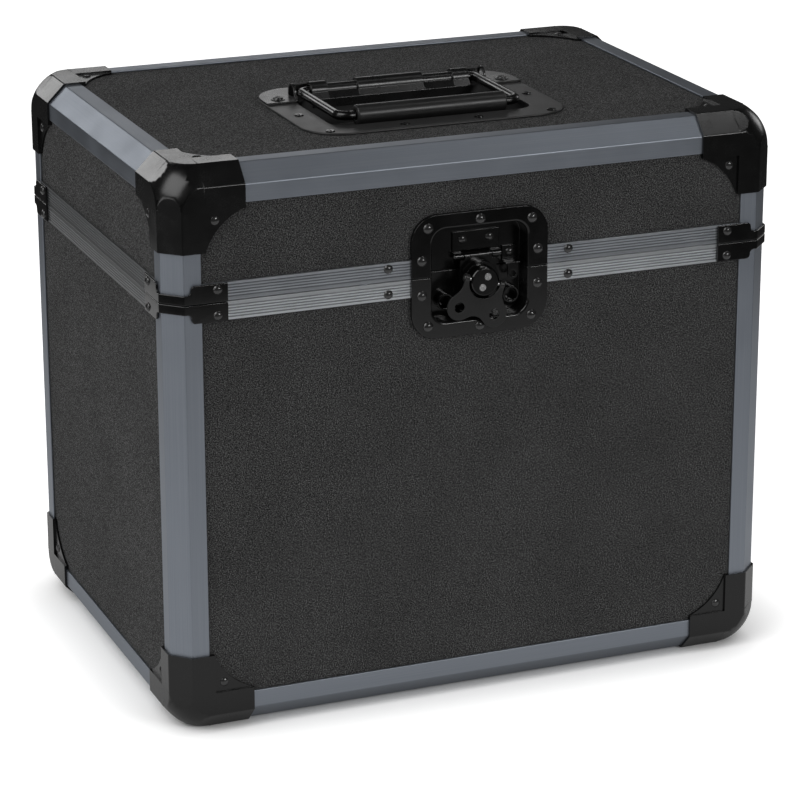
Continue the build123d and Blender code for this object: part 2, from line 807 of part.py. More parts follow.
# two bright pin ends in the drum's face
drum_face = drum_plane.offset(drum_front)
with BuildPart() as drum_pins:
    for side in (-1, 1):
        reach = side * drum_pin_spacing / 2
        place = (reach * sin(radians(drum_pin_tilt)), reach * cos(radians(drum_pin_tilt)))
        with BuildSketch(drum_face):
            with Locations(place):
                Circle(drum_pin_radius)
        extrude(amount=drum_pin_rise)
save(drum_pins.part, "drum_pins")

# ---------------------------------------------------------------- butterfly wing
wing_plane = Plane(
    origin=latch.from_local_coords((0, drum_z, wing_back)),
    x_dir=(cos(radians(wing_tilt)), 0, -sin(radians(wing_tilt))), z_dir=(0, -1, 0),
)
ear_inner = wing_waist_radius
ear_outer = wing_waist_radius + wing_ear_width
with BuildPart() as latch_wing:
    with BuildSketch(wing_plane):
        with BuildLine():
            lobe_side = (wing_lobe_x + wing_lobe_radius, -wing_lobe_drop)
            lobe_low = (wing_lobe_x, -wing_lobe_drop - wing_lobe_radius)
            lobe_turn = wing_lobe_radius * cos(radians(45))
            lobe_mid = (wing_lobe_x + lobe_turn, -wing_lobe_drop - lobe_turn)
            l1 = Line((0, 0), (ear_outer, 0))
            l2 = Line((ear_outer, 0), (ear_outer, -wing_ear_drop))
            l3 = Spline(
                (ear_outer, -wing_ear_drop), lobe_side, tangents=((0, -1), (0, -1))
            )
            l4 = ThreePointArc(lobe_side, lobe_mid, lobe_low)
            valley = (0, -wing_lobe_drop - wing_valley)
            l5 = Spline(lobe_low, valley, tangents=((-1, 0), (-1, 0)))
            mirror(about=Plane.YZ)
        make_face()
        with Locations((wing_lobe_x, -wing_lobe_drop), (-wing_lobe_x, -wing_lobe_drop)):
            Circle(wing_hole_radius, mode=Mode.SUBTRACT)
        Circle(wing_waist_radius, mode=Mode.SUBTRACT)
    extrude(amount=wing_sheet)
    # an eye at the top of each ear, round the fold pin
    for side in (-1, 1):
        with BuildSketch(fold_pin.offset(side * ear_inner)):
            Circle(wing_pin_radius + wing_eye_wall)
        extrude(amount=side * wing_ear_width)
    with BuildSketch(fold_pin):
        Circle(wing_pin_radius + barrel_play)
    extrude(amount=ear_outer + cut_over, both=True, mode=Mode.SUBTRACT)
save(latch_wing.part, "latch_wing")

with BuildPart() as wing_fold_pin:
    with BuildSketch(fold_pin):
        Circle(wing_pin_radius)
    extrude(amount=ear_outer, both=True)
save(wing_fold_pin.part, "wing_fold_pin")

# ---------------------------------------------------------------- strike, eyelets and hasp
strike_top = barrel_height - claw_drop - strike_gap
with BuildPart() as latch_strike:
    # plate on the back of the dish, folded out at the top under the claw
    with BuildSketch(dish_back):
        with Locations((0, strike_top)):
            Rectangle(strike_width, strike_height, align=(Align.CENTER, Align.MAX))
    extrude(amount=strike_sheet)
    with BuildSketch(dish_back):
        with Locations((0, strike_top)):
            Rectangle(strike_width, strike_sheet, align=(Align.CENTER, Align.MAX))
    extrude(amount=strike_lip)
save(latch_strike.part, "latch_strike")

with BuildPart() as padlock_eyelets:
    with BuildSketch(dish_back):
        with Locations((-eyelet_spread, -eyelet_drop), (eyelet_spread, -eyelet_drop)):
            Circle(eyelet_outer)
            Circle(eyelet_inner, mode=Mode.SUBTRACT)
    extrude(amount=eyelet_length)
save(padlock_eyelets.part, "padlock_eyelets")

with BuildPart() as padlock_hasp:
    with BuildSketch(dish_back):
        with Locations((hasp_offset, hasp_foot)):
            Rectangle(hasp_width, hasp_height, align=(Align.CENTER, Align.MIN))
    extrude(amount=strike_sheet)
    # eye bent out of the plate's lower edge
    with BuildSketch(dish_back):
        with Locations((hasp_offset, hasp_foot)):
            Rectangle(hasp_width, strike_sheet, align=(Align.CENTER, Align.MIN))
    extrude(amount=hasp_reach)
    # and turned down across the seam, with a hole for the padlock
    eye_round = hasp_eye_width / 2
    with BuildSketch(dish_back.offset(hasp_reach)):
        with Locations((hasp_offset, hasp_foot + strike_sheet)):
            Rectangle(
                hasp_eye_width, hasp_foot + strike_sheet + hasp_eye_drop - eye_round,
                align=(Align.CENTER, Align.MAX),
            )
        with Locations((hasp_offset, eye_round - hasp_eye_drop)):
            Circle(eye_round)
            Circle(hasp_eye_hole, mode=Mode.SUBTRACT)
    extrude(amount=-strike_sheet)
save(padlock_hasp.part, "padlock_hasp")
hasp_rivet = Plane(
    origin=dish_back.from_local_coords(
        (hasp_offset, hasp_foot + hasp_height / 2 + plate_rivet_lift, strike_sheet)
    ),
    z_dir=(0, -1, 0),
)
save(rivets(plate_rivet_planes + [hasp_rivet]), "latch_plate_rivets")

# ---------------------------------------------------------------- handle plate
# Planes below are level with the top of the plate, x along +X and y to the back.
top = Plane(origin=(0, handle_y, case_top), x_dir=(1, 0, 0), z_dir=(0, 0, 1))
opening_length = handle_opening_back - handle_opening_front
opening_middle = (handle_opening_back + handle_opening_front) / 2

with BuildPart() as handle_plate:
    with BuildSketch(top):
        RectangleRounded(handle_width, handle_length, handle_corner)
    extrude(amount=-handle_sheet)
    with BuildSketch(top):
        with Locations((0, opening_middle)):
            RectangleRounded(
                handle_opening_width + 2 * handle_pan_wall, opening_length + 2 * handle_pan_wall,
                handle_opening_corner + handle_pan_wall,
            )
    extrude(amount=-handle_pan_depth - handle_pan_wall)
    with BuildSketch(top):
        with Locations((0, opening_middle)):
            RectangleRounded(handle_opening_width, opening_length, handle_opening_corner)
    extrude(amount=-handle_pan_depth, mode=Mode.SUBTRACT)
save(handle_plate.part, "handle_plate")

# ---------------------------------------------------------------- handle cover and bushes
pivot_plane = Plane(
    origin=top.from_local_coords((0, pivot_y, pivot_height)), x_dir=(0, 1, 0), z_dir=(1, 0, 0)
)
apron_front = handle_opening_back - pivot_y - cover_play


def cover_section(inner):
    """Hump round the pivot with a flange behind it and an apron, x to the back and y up."""
    outer = inner + cover_sheet
    with BuildSketch() as section:
        Circle(outer)
        Circle(inner, mode=Mode.SUBTRACT)
        Rectangle(2 * outer, outer, align=(Align.CENTER, Align.MAX), mode=Mode.SUBTRACT)
        with Locations((inner, 0)):
            Rectangle(cover_sheet, pivot_height, align=(Align.MIN, Align.MAX))
        with BuildLine():
            Polyline(
                (-outer, 0), (-inner, 0), (apron_front, -pivot_height),
                (apron_front, -cover_apron_depth),
                (apron_front - cover_sheet, -cover_apron_depth),
                (apron_front - cover_sheet, -pivot_height), close=True,
            )
        make_face()
        with Locations((inner, -pivot_height)):
            Rectangle(pivot_inset - inner, cover_sheet, align=(Align.MIN, Align.MIN))
    return section.sketch


hump_inner = bush_radius + cover_play
hump_outer = hump_inner + cover_sheet
hump_low = hump_inner - cover_low_drop
step_inner = cover_low_inner - cover_sheet   # walls of the steps stand in the higher lengths
step_outer = cover_low_outer + cover_sheet
with BuildPart() as handle_cover:
    with BuildSketch(pivot_plane):
        add(cover_section(hump_inner))
    extrude(amount=cover_low_inner, both=True)
    with BuildSketch(pivot_plane.offset(cover_low_inner)):
        add(cover_section(hump_low))
    extrude(amount=cover_low_outer - cover_low_inner)
    with BuildSketch(pivot_plane.offset(cover_low_outer)):
        add(cover_section(hump_inner))
    extrude(amount=cover_hump_half - cover_low_outer)
    for start in (step_inner, cover_low_outer):
        with BuildSketch(pivot_plane.offset(start)):
            Circle(hump_inner + touching)
            Circle(hump_low, mode=Mode.SUBTRACT)
            Rectangle(
                2 * hump_outer, hump_outer, align=(Align.CENTER, Align.MAX),
                mode=Mode.SUBTRACT,
            )
        extrude(amount=cover_sheet)
    mirror(about=Plane.YZ)
    # flat ears each side, to the outline of the plate
    with BuildSketch(top):
        RectangleRounded(handle_width, handle_length, handle_corner)
        Rectangle(2 * cover_hump_half, handle_length, mode=Mode.SUBTRACT)
        with Locations((0, plate_back - cover_ear_length)):
            Rectangle(
                handle_width, handle_length, align=(Align.CENTER, Align.MAX), mode=Mode.SUBTRACT
            )
    extrude(amount=cover_sheet)
    for side in (-1, 1):
        # slot that lets the bail's arm swing up
        xs = sorted((side * cover_slot_inner, side * cover_slot_outer))
        low = handle_y + handle_opening_front
        block(
            (xs[0], low, case_top - cover_apron_depth),
            (xs[1], handle_y + pivot_y + cover_slot_back, case_top + 2 * hump_outer),
            Mode.SUBTRACT,
        )
        xs = sorted((side * cover_slot_inner, side * (cover_hump_half + cut_over)))
        block(
            (xs[0], low, case_top - 2 * cover_apron_depth),
            (xs[1], handle_y + handle_opening_back, case_top),
            Mode.SUBTRACT,
        )
        # notch in the back edge
        xs = sorted((side * cover_low_inner, side * (cover_low_inner + cover_notch_width)))
        back_edge = handle_y + plate_back
        block(
            (xs[0], back_edge - cover_notch_depth, case_top - cut_over),
            (xs[1], back_edge + cut_over, case_top + cover_sheet + cut_over),
            Mode.SUBTRACT,
        )
save(handle_cover.part, "handle_cover")

bush_inset = step_outer + bush_gap
bush_width = cover_slot_inner - bush_inset
with BuildPart() as handle_bushes:
    with BuildSketch(pivot_plane.offset(bush_inset)):
        Circle(bush_radius)
        Rectangle(2 * bush_radius, pivot_height, align=(Align.CENTER, Align.MAX))
        with Locations((0, -pivot_height)):
            Rectangle(
                2 * hump_outer, hump_outer, align=(Align.CENTER, Align.MAX), mode=Mode.SUBTRACT
            )
        Circle(bail_rod_radius + bush_play, mode=Mode.SUBTRACT)
    extrude(amount=bush_width)
    mirror(about=Plane.YZ)
save(handle_bushes.part, "handle_bushes")

# ---------------------------------------------------------------- bail and grip
bail_plane = Plane(
    origin=top.from_local_coords((0, pivot_y, pivot_height)), x_dir=(1, 0, 0), z_dir=(0, 0, 1)
)
rod_end = bush_inset + bail_stub
with BuildPart() as handle_bail:
    with BuildLine(bail_plane) as bail_path:
        FilletPolyline(
            (-rod_end, 0), (-bail_half_width, 0), (-bail_half_width, -bail_reach),
            (bail_half_width, -bail_reach), (bail_half_width, 0), (rod_end, 0),
            radius=[bail_pivot_bend, bail_bend, bail_bend, bail_pivot_bend],
        )
    with BuildSketch(Plane(origin=bail_path.line @ 0, z_dir=bail_path.line % 0)):
        RegularPolygon(bail_rod_radius, bail_rod_sides)
    sweep(path=bail_path.line)
save(handle_bail.part, "handle_bail")

grip_plane = Plane(
    origin=bail_plane.from_local_coords((0, -bail_reach, 0)), x_dir=(0, 1, 0), z_dir=(1, 0, 0)
)
with BuildPart() as handle_grip:
    with BuildSketch(grip_plane):
        Circle(grip_radius)
        Circle(bail_rod_radius + grip_play, mode=Mode.SUBTRACT)
    extrude(amount=grip_length / 2, both=True)
save(handle_grip.part, "handle_grip")

# ---------------------------------------------------------------- handle fasteners
screw_places = []
screw_row_y = screw_row_inset - plate_back
for side in (-1, 1):
    screw_places.append((side * (handle_width / 2 - screw_row_outer_inset), screw_row_y))
    screw_places.append((side * screw_row_inner, screw_row_y))
    screw_places.append((side * (handle_width / 2 - screw_side_inset), screw_side_y))
screw_planes = [Plane(origin=top.from_local_coords((x, y, 0))) for x, y in screw_places]
save(rivets(screw_planes, screw_radius, screw_height), "handle_screws")

pop_places = [(x, plate_back - pop_row_inset) for x in (-pop_row_x, 0, pop_row_x)]
pop_ear_x = handle_width / 2 - pop_ear_inset
pop_ear_y = plate_back - pop_ear_length
pop_places += [(-pop_ear_x, pop_ear_y), (pop_ear_x, pop_ear_y)]
pop_planes = [Plane(origin=top.from_local_coords((x, y, cover_sheet))) for x, y in pop_places]
save(rivets(pop_planes, pop_radius, pop_height), "handle_pop_rivets")

# ---------------------------------------------------------------- back hinges
hinge_y = half_depth + knuckle_radius + knuckle_clear
hinge_axis = Plane(origin=(0, hinge_y, seam_z), x_dir=(0, 1, 0), z_dir=(1, 0, 0))
knuckle_pitch = hinge_length / knuckle_count
leaf_near = half_depth - hinge_y             # the leaf's back, seen from the hinge line


def hinge_leaves(away, first):
    """Leaves above (+1) or below (-1) the seam, with every second knuckle from first."""
    with BuildPart() as leaves:
        low = min(away * leaf_start, away * hinge_leaf)
        high = max(away * leaf_start, away * hinge_leaf)
        block(
            (hinge_x - hinge_length / 2, half_depth, seam_z + low),
            (hinge_x + hinge_length / 2, half_depth + hinge_sheet, seam_z + high),
        )
        for index in range(first, knuckle_count, 2):
            start = hinge_x - hinge_length / 2 + index * knuckle_pitch + knuckle_gap / 2
            with BuildSketch(hinge_axis.offset(start)):
                Circle(knuckle_radius)
                with Locations((leaf_near, 0)):
                    Rectangle(
                        hinge_sheet, leaf_start + cut_over,
                        align=(Align.MIN, Align.MIN if away > 0 else Align.MAX),
                    )
                Circle(hinge_pin_radius + hinge_pin_play, mode=Mode.SUBTRACT)
            extrude(amount=knuckle_pitch - knuckle_gap)
        mirror(about=Plane.YZ)
    return leaves.part


save(hinge_leaves(-1, 0), "hinge_base_leaves")
save(hinge_leaves(1, 1), "hinge_lid_leaves")

with BuildPart() as hinge_pins:
    with BuildSketch(hinge_axis.offset(hinge_x - hinge_length / 2)):
        Circle(hinge_pin_radius)
    extrude(amount=hinge_length)
    mirror(about=Plane.YZ)
save(hinge_pins.part, "hinge_pins")

# ---------------------------------------------------------------- foam lining
pad_x = half_width - lining_inset
pad_y = half_depth - lining_inset
pad_low = case_bottom + lining_inset
pad_high = base_top - rim_height - pad_margin
wall_inner = half_depth - panel_inner

with BuildPart() as floor_pad:
    block(
        (-pad_x, -pad_y, case_bottom + panel_inner),
        (pad_x, pad_y, case_bottom + panel_inner + pad_floor),
    )
save(floor_pad.part, "floor_pad")

with BuildPart() as front_wall_pad:
    block((-pad_x, -wall_inner, pad_low), (pad_x, -wall_inner + pad_wall, pad_high))
    block(
        (-dish_cut_x - pad_margin, -half_depth, seam_z - dish_cut_z - pad_margin),
        (dish_cut_x + pad_margin, 0, seam_z),
        Mode.SUBTRACT,
    )
save(front_wall_pad.part, "front_wall_pad")

with BuildPart() as back_wall_pad:
    block((-pad_x, wall_inner - pad_wall, pad_low), (pad_x, wall_inner, pad_high))
save(back_wall_pad.part, "back_wall_pad")

with BuildPart() as lid_pad:
    lid_inner = case_top - panel_inner
    block((-pad_x, -pad_y, lid_inner - pad_wall), (pad_x, pad_y, lid_inner))
    block(
        (-handle_cut_x - pad_margin, handle_cut_front - pad_margin, lid_inner - 2 * pad_wall),
        (handle_cut_x + pad_margin, handle_cut_back + pad_margin, case_top),
        Mode.SUBTRACT,
    )
save(lid_pad.part, "lid_pad")
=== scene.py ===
import json
from math import cos, pi, radians, sin

import bpy
from mathutils import Matrix, Vector

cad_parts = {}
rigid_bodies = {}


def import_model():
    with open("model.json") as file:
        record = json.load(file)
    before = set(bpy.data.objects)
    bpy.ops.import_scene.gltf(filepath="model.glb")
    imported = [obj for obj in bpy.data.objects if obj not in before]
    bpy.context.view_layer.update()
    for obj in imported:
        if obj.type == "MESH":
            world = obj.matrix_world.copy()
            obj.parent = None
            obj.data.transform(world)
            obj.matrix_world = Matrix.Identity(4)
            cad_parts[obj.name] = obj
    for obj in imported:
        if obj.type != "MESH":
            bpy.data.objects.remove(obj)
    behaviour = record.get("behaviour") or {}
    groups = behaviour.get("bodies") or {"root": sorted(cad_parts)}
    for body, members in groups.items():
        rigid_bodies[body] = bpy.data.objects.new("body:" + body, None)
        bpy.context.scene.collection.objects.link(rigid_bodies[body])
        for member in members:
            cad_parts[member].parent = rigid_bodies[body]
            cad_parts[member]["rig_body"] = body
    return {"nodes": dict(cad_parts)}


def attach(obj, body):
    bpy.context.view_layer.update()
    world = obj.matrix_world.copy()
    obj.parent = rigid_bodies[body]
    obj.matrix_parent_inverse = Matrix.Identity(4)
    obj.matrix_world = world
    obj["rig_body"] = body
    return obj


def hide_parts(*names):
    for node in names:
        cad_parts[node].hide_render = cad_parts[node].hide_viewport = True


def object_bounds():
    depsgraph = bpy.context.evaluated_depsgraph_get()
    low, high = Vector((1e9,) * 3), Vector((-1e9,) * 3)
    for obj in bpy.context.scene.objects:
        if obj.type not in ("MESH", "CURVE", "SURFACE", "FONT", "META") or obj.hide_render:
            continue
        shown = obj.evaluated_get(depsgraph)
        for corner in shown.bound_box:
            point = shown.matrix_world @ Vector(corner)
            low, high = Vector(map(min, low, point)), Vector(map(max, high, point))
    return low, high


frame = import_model()
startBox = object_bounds()
nodes = frame["nodes"]
mm = 0.001

scene = bpy.context.scene
caseMiddle = (startBox[0] + startBox[1]) / 2


# ---- small helpers
def deselect():
    bpy.ops.object.select_all(action="DESELECT")


def takeUp(piece):  # the only selected object, and the active one
    deselect()
    piece.select_set(True)
    bpy.context.view_layer.objects.active = piece


def edit(piece):
    takeUp(piece)
    bpy.ops.object.mode_set(mode="EDIT")


def leaveEdit():
    bpy.ops.object.mode_set(mode="OBJECT")


# ---- shader nodes as Python expressions
class Wire:  # an output socket that can be added, multiplied and compared
    def __init__(self, finish, socket):
        self.finish = finish
        self.socket = socket

    def math(self, operation, other=0.0, swapped=False):
        first, second = (other, self) if swapped else (self, other)
        return self.finish.node("ShaderNodeMath", {"operation": operation}, {0: first, 1: second})

    def __add__(self, other):
        return self.math("ADD", other)

    def __sub__(self, other):
        return self.math("SUBTRACT", other)

    def __rsub__(self, other):
        return self.math("SUBTRACT", other, swapped=True)

    def __mul__(self, other):
        return self.math("MULTIPLY", other)

    def __pow__(self, other):
        return self.math("POWER", other)

    __radd__ = __add__
    __rmul__ = __mul__


class Finish:  # a material; its set values go straight on the shader
    def __init__(self, name, **values):
        self.material = bpy.data.materials.new(name)
        self.material.use_nodes = True
        self.tree = self.material.node_tree
        self.shader = self.tree.nodes["Principled BSDF"]
        self.place = None
        for title, value in values.items():
            self.shader.inputs[title.replace("_", " ")].default_value = value

    def node(self, kind, settings=None, inputs=None, output=0):
        made = self.tree.nodes.new(kind)
        for key, value in (settings or {}).items():
            if key == "stops":
                self.setStops(made.color_ramp, value)
            else:
                setattr(made, key, value)
        for key, value in (inputs or {}).items():
            self.feed(made.inputs[key], value)
        return Wire(self, made.outputs[output])

    def setStops(self, ramp, stops):
        for index, (position, color) in enumerate(stops):
            element = ramp.elements[index] if index < 2 else ramp.elements.new(position)
            element.position = position
            element.color = color

    def feed(self, socket, value):
        if isinstance(value, Wire):
            self.tree.links.new(value.socket, socket)
        else:
            socket.default_value = value

    def coordinates(self, stretch=(1, 1, 1)):  # metres on the object, stretched along its axes
        place = self.node("ShaderNodeTexCoord", output="Object")
        return self.node("ShaderNodeMapping", inputs={"Vector": place, "Scale": stretch})

    def noise(self, size, stretch=(1, 1, 1), detail=2.0, roughness=0.5):  # size in millimetres
        return self.node(
            "ShaderNodeTexNoise",
            inputs={
                "Vector": self.coordinates(stretch), "Scale": 1 / (size * mm),
                "Detail": detail, "Roughness": roughness,
            },
        )

    def cells(self, size, output="Distance"):
        return self.node(
            "ShaderNodeTexVoronoi",
            inputs={"Vector": self.coordinates(), "Scale": 1 / (size * mm)}, output=output,
        )

    def spread(self, value, low, high, newLow=0.0, newHigh=1.0):
        return self.node(
            "ShaderNodeMapRange",
            inputs={
                "Value": value, "From Min": low, "From Max": high,
                "To Min": newLow, "To Max": newHigh,
            },
        )

    def blendColor(self, share, first, second):
        return self.node(
            "ShaderNodeMix", {"data_type": "RGBA"}, {0: share, 6: first, 7: second}, output=2
        )

    def paint(self, color=None, roughness=None, bump=None, depth=0.1, strength=1.0):
        if color is not None:
            self.feed(self.shader.inputs["Base Color"], color)
        if roughness is not None:
            self.feed(self.shader.inputs["Roughness"], roughness)
        if bump is not None:  # depth in millimetres
            normal = self.node(
                "ShaderNodeBump",
                inputs={"Height": bump, "Distance": depth * mm, "Strength": strength},
            )
            self.feed(self.shader.inputs["Normal"], normal)
        return self.material


def gray(value, alpha=1.0):
    return (value, value, value, alpha)


# ---- materials
laminateLook = {
    "dark": gray(0.0055),
    "light": gray(0.212),
    "grain": 0.72,
    "fineGrain": 0.34,
    "roughness": 0.8,
    "dimpleDepth": 0.09,
}


def makeLaminate():
    look = laminateLook
    finish = Finish("laminate", Specular_IOR_Level=0.06)
    coarse = finish.noise(look["grain"], detail=1.0, roughness=0.6)
    fine = finish.noise(look["fineGrain"], detail=0.0)
    cloud = finish.noise(45, detail=3.0)
    grain = finish.spread(coarse * 0.6 + fine * 0.4, 0.38, 0.68)
    speck = grain ** 1.7 * finish.spread(cloud, 0.2, 0.8, 0.82, 1.1)
    color = finish.blendColor(speck, look["dark"], look["light"])
    rough = finish.spread(coarse, 0.3, 0.7, look["roughness"] - 0.08, look["roughness"] + 0.1)
    return finish.paint(color, rough, coarse, look["dimpleDepth"])


anodisedLook = {
    "color": (0.26, 0.285, 0.325, 1),
    "streakColor": (0.305, 0.33, 0.37, 1),
    "roughness": 0.46,
    "streakWidth": 0.5,
    "streakStretch": 0.004,
    "depth": 0.006,
}


grooves = {"seam": 276.5, "start": 2.4, "pitch": 1.75, "count": 5, "half": 0.23, "soft": 0.05}


def paintedGrooveMask(finish):  # mask of painted shade: 1 in the grooves beside the seam, part of it on the plain band
    height = finish.node("ShaderNodeSeparateXYZ", inputs={0: finish.coordinates()}, output="Z")
    away = (height - grooves["seam"] * mm).math("ABSOLUTE")
    turns = (away - grooves["start"] * mm) * (1 / (grooves["pitch"] * mm))
    off = (turns.math("FRACT") - grooves["half"]).math("ABSOLUTE")
    inGroove = finish.spread(
        off, grooves["half"] - grooves["soft"], grooves["half"] + grooves["soft"], 1.0, 0.0
    )
    within = turns.math("GREATER_THAN", 0.0) * turns.math("LESS_THAN", grooves["count"])
    return inGroove * within + turns.math("LESS_THAN", 0.0) * 0.4


def makeAnodised(name, along, look):  # along is the axis of the extrusion, 0 to 2
    finish = Finish(name, Metallic=1.0)
    stretch = [1.0, 1.0, 1.0]
    stretch[along] = look["streakStretch"]
    streaks = finish.noise(look["streakWidth"], stretch, detail=4.0, roughness=0.65)
    smears = finish.noise(24, detail=3.0)
    share = finish.spread(streaks * 0.8 + smears * 0.2, 0.35, 0.65)
    color = finish.blendColor(share, look["color"], look["streakColor"])
    # painted shade: the grooves and the plain band beside the seam are darkened towards gray 0.02
    if "paintedGrooveShade" in look:
        color = finish.blendColor(paintedGrooveMask(finish) * look["paintedGrooveShade"], color, gray(0.02))
    low = look["roughness"] - 0.05
    rough = finish.spread(streaks * 0.5 + smears * 0.5, 0.3, 0.7, low, low + 0.12)
    return finish.paint(color, rough, streaks, look["depth"])


litAndShadedClosureLooks = {  # lit and shaded copies of one anodised rim finish: painted shade makes the lid's rims darker than the base's, and the side ones darker still
    "lidX": {"color": (0.46, 0.48, 0.52, 1), "streakColor": (0.58, 0.61, 0.65, 1), "roughness": 0.32},
    "baseX": {"color": (0.73, 0.76, 0.79, 1), "streakColor": (0.89, 0.92, 0.95, 1), "roughness": 0.3},
    "lidY": {"color": (0.16, 0.165, 0.17, 1), "streakColor": (0.2, 0.205, 0.21, 1), "roughness": 0.5},
    "baseY": {"color": (0.24, 0.245, 0.25, 1), "streakColor": (0.3, 0.305, 0.31, 1), "roughness": 0.5},
}
for look in litAndShadedClosureLooks.values():
    look.update({"streakWidth": 0.35, "streakStretch": 0.01, "depth": 0.01, "paintedGrooveShade": 0.6})

paintLooks = {  # base gray, specular, roughness, size and depth of the orange peel
    "glossBlack": {"base": 0.0015, "specular": 0.5, "roughness": 0.13, "peel": 1.6, "depth": 0.008},
    "capBlack": {"base": 0.0015, "specular": 0.5, "roughness": 0.23, "peel": 2.2, "depth": 0.012},
    "plateBlack": {"base": 0.0012, "specular": 0.4, "roughness": 0.16, "peel": 1.0, "depth": 0.006},
    "satinBlack": {"base": 0.018, "specular": 0.45, "roughness": 0.4, "peel": 0.7, "depth": 0.01},
    "dishGray": {"base": 0.005, "specular": 0.55, "roughness": 0.2, "peel": 0.8, "depth": 0.006},
    "wingGray": {"base": 0.007, "specular": 0.5, "roughness": 0.36, "peel": 0.35, "depth": 0.01},
    "coverBlack": {"base": 0.004, "specular": 0.5, "roughness": 0.27, "peel": 0.8, "depth": 0.008},
    "rivetBlack": {"base": 0.016, "specular": 0.75, "roughness": 0.2, "peel": 0.8, "depth": 0.006},
    "sleeveBlack": {"base": 0.012, "specular": 0.4, "roughness": 0.34, "peel": 0.5, "depth": 0.006},
}


def makePaint(name):
    look = paintLooks[name]
    finish = Finish(name, Specular_IOR_Level=look["specular"])
    peel = finish.noise(look["peel"], detail=1.0)
    grit = finish.noise(0.16, detail=0.0)
    haze = finish.noise(18, detail=4.0, roughness=0.6)
    dust = finish.spread(finish.noise(0.5, detail=0.0), 0.74, 0.8)  # a few light specks
    share = finish.spread(haze, 0.3, 0.75, 0.0, 0.35) + dust * 0.5
    color = finish.blendColor(share, gray(look["base"]), gray(look["base"] * 2.2 + 0.001))
    rough = finish.spread(haze * 0.7 + grit * 0.3, 0.3, 0.7, -0.04, 0.07) + look["roughness"]
    return finish.paint(color, rough, peel * 0.8 + grit * 0.2, look["depth"])


def makeBright(name, light, dark):
    finish = Finish(name, Metallic=1.0)
    scratches = finish.noise(0.3, (1, 1, 0.2), detail=4.0, roughness=0.7)
    spots = finish.noise(1.3, detail=2.0)
    color = finish.blendColor(finish.spread(spots, 0.35, 0.7), gray(light), gray(dark))
    rough = finish.spread(scratches, 0.3, 0.7, 0.18, 0.42)
    return finish.paint(color, rough, scratches, 0.03)


def makeFoam():
    finish = Finish("foam", Sheen_Weight=0.25, Sheen_Roughness=0.6, Specular_IOR_Level=0.15)
    pores = finish.cells(1.1)
    small = finish.cells(0.45)
    cloud = finish.noise(40, detail=3.0)
    holes = finish.spread(pores, 0.05, 0.5)
    share = holes * 0.7 + finish.spread(cloud, 0.3, 0.7) * 0.3
    color = finish.blendColor(share, gray(0.012), (0.044, 0.045, 0.048, 1))
    rough = finish.spread(small, 0.0, 0.6, 0.97, 0.86)
    return finish.paint(color, rough, pores * 0.7 + small * 0.3, 0.5)


floorLook = {
    "white": 0.8,
    "reflected": 0.07,
    "paintedGlow": 0.95,
    "shadowReach": 0.065,
    "shadow": 1.5,
    "bounceShadow": 0.9,
    "bounceNear": 0.55,
    "bounceStart": 0.88,
    "bounceEnd": 1.04,
}


def makeFloor():  # white where the camera sees it, gray further out in what the case reflects; the emission paints light and shade: for camera rays a glow with a painted contact shadow from ambient occlusion, for other rays a painted bounce glow near the case
    look = floorLook
    finish = Finish("studioFloor", Roughness=0.9, Specular_IOR_Level=0.05, Emission_Strength=1.0)
    seen = finish.node("ShaderNodeLightPath", output="Is Camera Ray")
    openness = finish.node(
        "ShaderNodeAmbientOcclusion", {"samples": 16}, {"Distance": look["shadowReach"]}, "AO"
    )
    away = finish.node(
        "ShaderNodeVectorMath", {"operation": "LENGTH"}, {0: finish.coordinates()}, "Value"
    )
    paintedBounce = finish.spread(
        away, look["bounceStart"], look["bounceEnd"], look["bounceNear"], 0.0
    )
    grain = finish.spread(finish.noise(3.0, detail=3.0), 0.3, 0.7, -0.01, 0.01)
    shade = finish.spread(seen, 0.0, 1.0, look["reflected"], look["white"]) + grain
    # painted contact shadow: the glow seen by the camera is darkened by ambient occlusion beside the
    # case
    paintedGlow = seen * openness ** look["shadow"] * look["paintedGlow"]
    # painted bounce light: other rays see the floor glow near the case, fading with distance
    paintedGlow = paintedGlow + (1 - seen) * openness ** look["bounceShadow"] * paintedBounce
    finish.feed(finish.shader.inputs["Emission Color"], paintedGlow)
    return finish.paint(shade)


laminate = makeLaminate()
alongX = makeAnodised("anodisedAlongX", 0, anodisedLook)
alongY = makeAnodised("anodisedAlongY", 1, anodisedLook)
alongZ = makeAnodised("anodisedAlongZ", 2, anodisedLook)
closure = {}
for name, look in litAndShadedClosureLooks.items():
    closure[name] = makeAnodised(f"closure_{name}", "XY".index(name[-1]), look)
glossBlack = makePaint("glossBlack")
capBlack = makePaint("capBlack")
plateBlack = makePaint("plateBlack")
satinBlack = makePaint("satinBlack")
dishGray = makePaint("dishGray")
wingGray = makePaint("wingGray")
sleeveBlack = makePaint("sleeveBlack")
coverBlack = makePaint("coverBlack")
rivetBlack = makePaint("rivetBlack")
brightSteel = makeBright("brightSteel", 0.75, 0.38)
dullSteel = makeBright("dullSteel", 0.13, 0.06)
foam = makeFoam()
print("materials made")


# ---- pieces made from CAD nodes
def mergedCopy(node, name, plain=True):  # plain makes one face of the facets in one plane
    piece = bpy.data.objects.new(name, nodes[node].data.copy())
    scene.collection.objects.link(piece)
    edit(piece)
    bpy.ops.mesh.select_all(action="SELECT")
    bpy.ops.mesh.customdata_custom_splitnormals_clear()
    bpy.ops.mesh.remove_doubles(threshold=0.00001)
    if plain:
        bpy.ops.mesh.dissolve_limited(angle_limit=radians(1))
    leaveEdit()
    return piece


def applyModifier(piece, kind, **settings):
    takeUp(piece)
    modifier = piece.modifiers.new(kind.lower(), kind)
    for key, value in settings.items():
        setattr(modifier, key, value)
    bpy.ops.object.modifier_apply(modifier=modifier.name)


